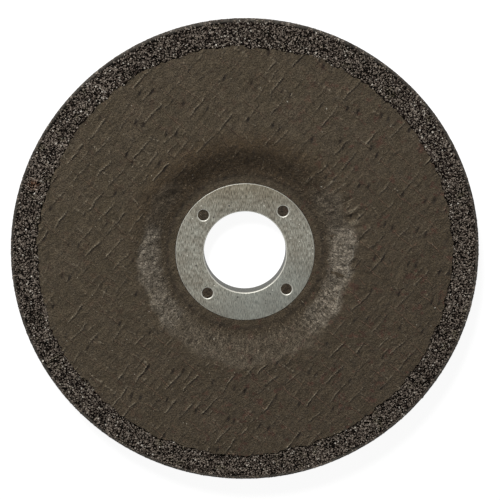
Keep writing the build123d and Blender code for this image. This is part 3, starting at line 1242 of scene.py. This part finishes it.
# %% Close the sheet into a body
def choose(piece, chosen):
    """Selects these vertices, an array of truths, in edit mode."""
    select_only(piece)
    mesh = piece.data
    mesh.polygons.foreach_set("select", np.zeros(len(mesh.polygons), dtype=bool))
    mesh.edges.foreach_set("select", np.zeros(len(mesh.edges), dtype=bool))
    mesh.vertices.foreach_set("select", chosen)
    bpy.ops.object.mode_set(mode="EDIT")
    bpy.ops.mesh.select_mode(type="VERT")


def corners_of(piece):
    """The corners of a mesh as an array."""
    places = np.empty(len(piece.data.vertices) * 3)
    piece.data.vertices.foreach_get("co", places)
    return places.reshape(-1, 3)


edit(cloth)
bpy.ops.mesh.select_mode(type="EDGE")
bpy.ops.mesh.select_all(action="DESELECT")
bpy.ops.mesh.select_non_manifold()
drop = facing_thickness - 0.05 * MM
bpy.ops.mesh.extrude_region_move(TRANSFORM_OT_translate={"value": (0, 0, -drop)})
close_edit()
lower = np.arange(len(cloth.data.vertices)) >= len(flat_place)
choose(cloth, lower & (axis_distance(corners_of(cloth)) > slope_end))
underside_radii = [facing_radius] + [r * MM for r in (32, 29.5, 27, 24.5, 22, 20)]
for here, there in zip(underside_radii, underside_radii[1:]):
    fall = float(front_height(there, facing_thickness) - front_height(here, facing_thickness))
    step = {"value": (0, 0, fall)}
    bpy.ops.mesh.extrude_region_move(TRANSFORM_OT_translate=step)
    draw_in = (there / here, there / here, 1)
    bpy.ops.transform.resize(value=draw_in, center_override=(0, 0, 0))
close_edit()
numbers = np.arange(len(cloth.data.vertices))
loops = (numbers >= len(flat_place)) & (numbers < len(flat_place) + edge_count + seam_count)
inner_loop = loops & (axis_distance(corners_of(cloth)) < slope_end)
last_loop = numbers >= len(numbers) - edge_count
choose(cloth, inner_loop | last_loop)
bpy.ops.mesh.bridge_edge_loops()
bpy.ops.mesh.select_all(action="SELECT")
bpy.ops.mesh.normals_make_consistent(inside=False)
close_edit()
bpy.ops.object.shade_smooth_by_angle(angle=math.radians(50))
finish(cloth, "woven_facing", "mesh_facing", cloth_finish)

# %% [markdown]
# ## The steel ring
# A press draws the ring from sheet: a collar that lines the bore and a flange
# round it, with four holes that the moulding fills. It's spun from its real
# section, with a rolled edge at the bore and a small one outside. A cutter
# with a wider mouth then takes the holes out by a Boolean, which leaves the
# bevel that the real holes have; its brightness is a painted highlight.

# %% Spin the ring and cut its key holes
bore_edge = 0.35 * MM
flange_edge = 0.15 * MM
collar_setback = 0.2 * MM
key_hole_count = 4
key_hole_radius = 1.5 * MM
key_circle = ring_radius - 3.6 * MM
key_angle = math.radians(47.7)
key_bevel = 0.26 * MM
cutter_core = 0.02 * MM


def rounded(centre_r, centre_z, radius, start, end, steps=6):
    """An arc of a section, from one angle to another, in degrees."""
    turns = np.radians(np.linspace(start, end, steps + 1))
    return [(centre_r + radius * math.cos(t), centre_z + radius * math.sin(t)) for t in turns]


ring_section = [(ring_radius, ring_face - ring_sheet)]
ring_section += rounded(ring_radius - flange_edge, ring_face - flange_edge, flange_edge, 0, 90)
ring_section += rounded(bore_radius + bore_edge, ring_face - bore_edge, bore_edge, 90, 180)
ring_section += [(bore_radius, hub_back + collar_setback), (collar_radius, hub_back + collar_setback)]
ring_section += [(collar_radius, ring_face - ring_sheet)]
steel_ring = spun("steel_ring", ring_section, 256)

cutter_section = [
    (cutter_core, ring_face - 2 * ring_sheet),
    (key_hole_radius, ring_face - 2 * ring_sheet),
    (key_hole_radius, ring_face - 0.6 * key_bevel),
    (key_hole_radius + key_bevel, ring_face + 0.02 * MM),
    (key_hole_radius + key_bevel, ring_face + ring_sheet),
    (cutter_core, ring_face + ring_sheet),
]
cutter = spun("hole_cutter", cutter_section, 48)
for number in range(key_hole_count):
    angle = key_angle + number * math.tau / key_hole_count
    copy = placed(f"hole_cutter_{number}", cutter.data.copy())
    copy.location = (key_circle * math.cos(angle), key_circle * math.sin(angle), 0)
    bpy.context.view_layer.update()
    use_modifier(steel_ring, "BOOLEAN", operation="DIFFERENCE", solver="EXACT", object=copy)
    bpy.data.meshes.remove(copy.data)
bpy.data.meshes.remove(cutter.data)
select_only(steel_ring)
bpy.ops.object.shade_smooth_by_angle(angle=math.radians(28))
print("Faces in the cut ring:", len(steel_ring.data.polygons))

# %% [markdown]
# The edges of the ring and the bevels of its holes get a painted highlight, and
# the wall of its bore gets painted shade. A material can't tell these from the
# flange by itself, so each face is told by its place, and both are stored as
# attributes.

# %% Mark the edges for painted highlight and the bore wall for painted shade
edge_highlight, inside = [], []
quarter = math.tau / key_hole_count
for face in steel_ring.data.polygons:
    x, y, z = face.center
    reach = math.hypot(x, y)
    low = ring_face - z > 0.01 * MM
    folded = (math.atan2(y, x) - key_angle + quarter / 2) % quarter - quarter / 2
    from_hole = math.hypot(reach * math.cos(folded) - key_circle, reach * math.sin(folded))
    bevel = from_hole < key_hole_radius + key_bevel and low and z > ring_face - 0.7 * key_bevel
    # Bevels and rolled edges get the painted highlight; the bore wall gets painted shade.
    at_edge = reach < bore_radius + bore_edge or reach > ring_radius - flange_edge
    edge_highlight.append(float(bevel or (at_edge and low and z > ring_face - bore_edge)))
    inside.append(float(reach < bore_radius + 0.01 * MM and z < ring_face - bore_edge))
give_attribute(steel_ring.data, "painted_edge_highlight", edge_highlight, "FACE")
give_attribute(steel_ring.data, "bore_wall", inside, "FACE")
print("Bright edge faces:", int(sum(edge_highlight)), "and bore wall faces:", int(sum(inside)))
finish(steel_ring, "steel_ring", "centre_ring", steel_finish)

# %% [markdown]
# ## What fills the key holes
# Under pressure the resin of the cloth rises into the holes and locks the
# ring. Each plug ends a little below the steel, slightly domed and rough. One
# is modelled from a cylinder by insets and a random nudge, then copied to the
# other holes.

# %% Model one plug and copy it
plug_top = ring_face - 0.32 * MM
plug_low = ring_face - ring_sheet
plug_radius = key_hole_radius - 0.03 * MM
plug_depth = plug_top - plug_low
middle = (key_circle * math.cos(key_angle), key_circle * math.sin(key_angle), plug_low + plug_depth / 2)
bpy.ops.object.select_all(action="DESELECT")
bpy.ops.mesh.primitive_cylinder_add(vertices=40, radius=plug_radius, depth=plug_depth, location=middle)
plug = bpy.context.object
bpy.ops.object.transform_apply(location=True, rotation=False, scale=False)
choose(plug, corners_of(plug)[:, 2] > plug_top - 0.01 * MM)
bpy.ops.mesh.select_mode(type="FACE")
for inset, rise in ((0.25, 0.03), (0.3, 0.02), (0.35, 0.01), (0.3, -0.02)):
    bpy.ops.mesh.inset(thickness=inset * MM, depth=rise * MM)
bpy.ops.mesh.poke()
bpy.ops.mesh.select_more()
bpy.ops.transform.vertex_random(offset=0.05 * MM, uniform=1.0, normal=0.0, seed=4)
close_edit()
bpy.ops.object.shade_smooth_by_angle(angle=math.radians(50))
# The plugs sit deep in their holes, so they take painted shade through the same value as the cloth's
# hollows.
give_attribute(plug.data, "hollow_shade", np.full(len(plug.data.vertices), 0.42))
for number in range(key_hole_count):
    copy = placed("plug", plug.data.copy()) if number else plug
    copy.data.transform(Matrix.Rotation(number * quarter, 4, "Z"))
    finish(copy, f"key_plug_{number + 1}", "mesh_facing", cloth_finish)

# %% [markdown]
# ## The floor and the light
# The picture is a product shot on white. The floor is a pale sheet that
# glows at nearly full white only for the camera and for reflections, so it
# never throws extra light on the disc and still takes its shadow. One broad
# lamp stands high behind the disc and a little to the left, and the world
# fills in plainly.

# %% Floor, world and lamp
def seen_directly(tree):
    """1 for rays from the camera, off a gloss or through glass, else 0."""
    rays = add(tree, "LightPath").outputs
    seen = maths(tree, "MAXIMUM", rays["Is Camera Ray"], rays["Is Glossy Ray"])
    return maths(tree, "MAXIMUM", seen, rays["Is Transmission Ray"])


def direction(azimuth, elevation):
    """The way out from the disc at these two angles, in degrees."""
    azimuth, elevation = math.radians(azimuth), math.radians(elevation)
    level = math.cos(elevation)
    return Vector((level * math.cos(azimuth), level * math.sin(azimuth), math.sin(elevation)))


floor_glow = 0.93
world_fill = 0.095
white = (1, 1, 1, 1)
floor_finish, tree, shader = new_material("pale_floor")
floor_look = {
    "Base Color": colour(124, 124, 124),
    "Roughness": 0.9,
    "Specular IOR Level": 0.1,
    "Emission Color": white,
    "Emission Strength": times(tree, seen_directly(tree), floor_glow),
}
fill(tree, shader, floor_look)
bpy.ops.object.select_all(action="DESELECT")
bpy.ops.mesh.primitive_grid_add(x_subdivisions=8, y_subdivisions=8, size=3, location=(0, 0, 0))
floor = bpy.context.object
floor.name = "floor"
floor.data.materials.append(floor_finish)

world = bpy.data.worlds.new("studio")
world.use_nodes = True
bpy.context.scene.world = world
sky = world.node_tree
strength = ramp(sky, seen_directly(sky), 0.0, 1.0, world_fill, 1.0)
fill(sky, sky.nodes["Background"], {"Color": white, "Strength": strength})

lamp_distance = 0.9
lamp_data = bpy.data.lights.new("key_lamp", "AREA")
lamp_data.shape = "DISK"
lamp_data.size = 0.3
lamp_data.energy = 9.6
lamp = placed("key_lamp", lamp_data)
towards_lamp = direction(110, 46)
lamp.location = towards_lamp * lamp_distance
lamp.rotation_euler = towards_lamp.to_track_quat("Z", "Y").to_euler()
print("Lamp at", tuple(round(v, 3) for v in lamp.location))

# %% [markdown]
# ## The camera
# The camera looks down on the disc from a little over ten degrees off its
# axis. How far off, from which side and how far away come from the outline of
# the disc against that of its bore, which lies deeper.

# %% Camera
camera_distance = 0.441
off_axis = 10.9
away = direction(95.9, 90 - off_axis)
right = Vector((0, 1, 0)).cross(away).normalized()
up = away.cross(right)
camera_data = bpy.data.cameras.new("camera")
camera_data.sensor_width = 36
camera_data.lens = 119.1
camera_data.shift_x = 0.0092
camera_data.shift_y = 0.011
camera = placed("camera", camera_data)
turned = Matrix((right, up, away)).transposed().to_4x4()
stands_at = Vector((0, 0, rim_top)) + away * camera_distance
camera.matrix_world = Matrix.Translation(stands_at) @ turned
bpy.context.scene.camera = camera
bpy.context.scene.view_settings.view_transform = "Standard"
print("Camera at", tuple(round(v, 3) for v in camera.location))
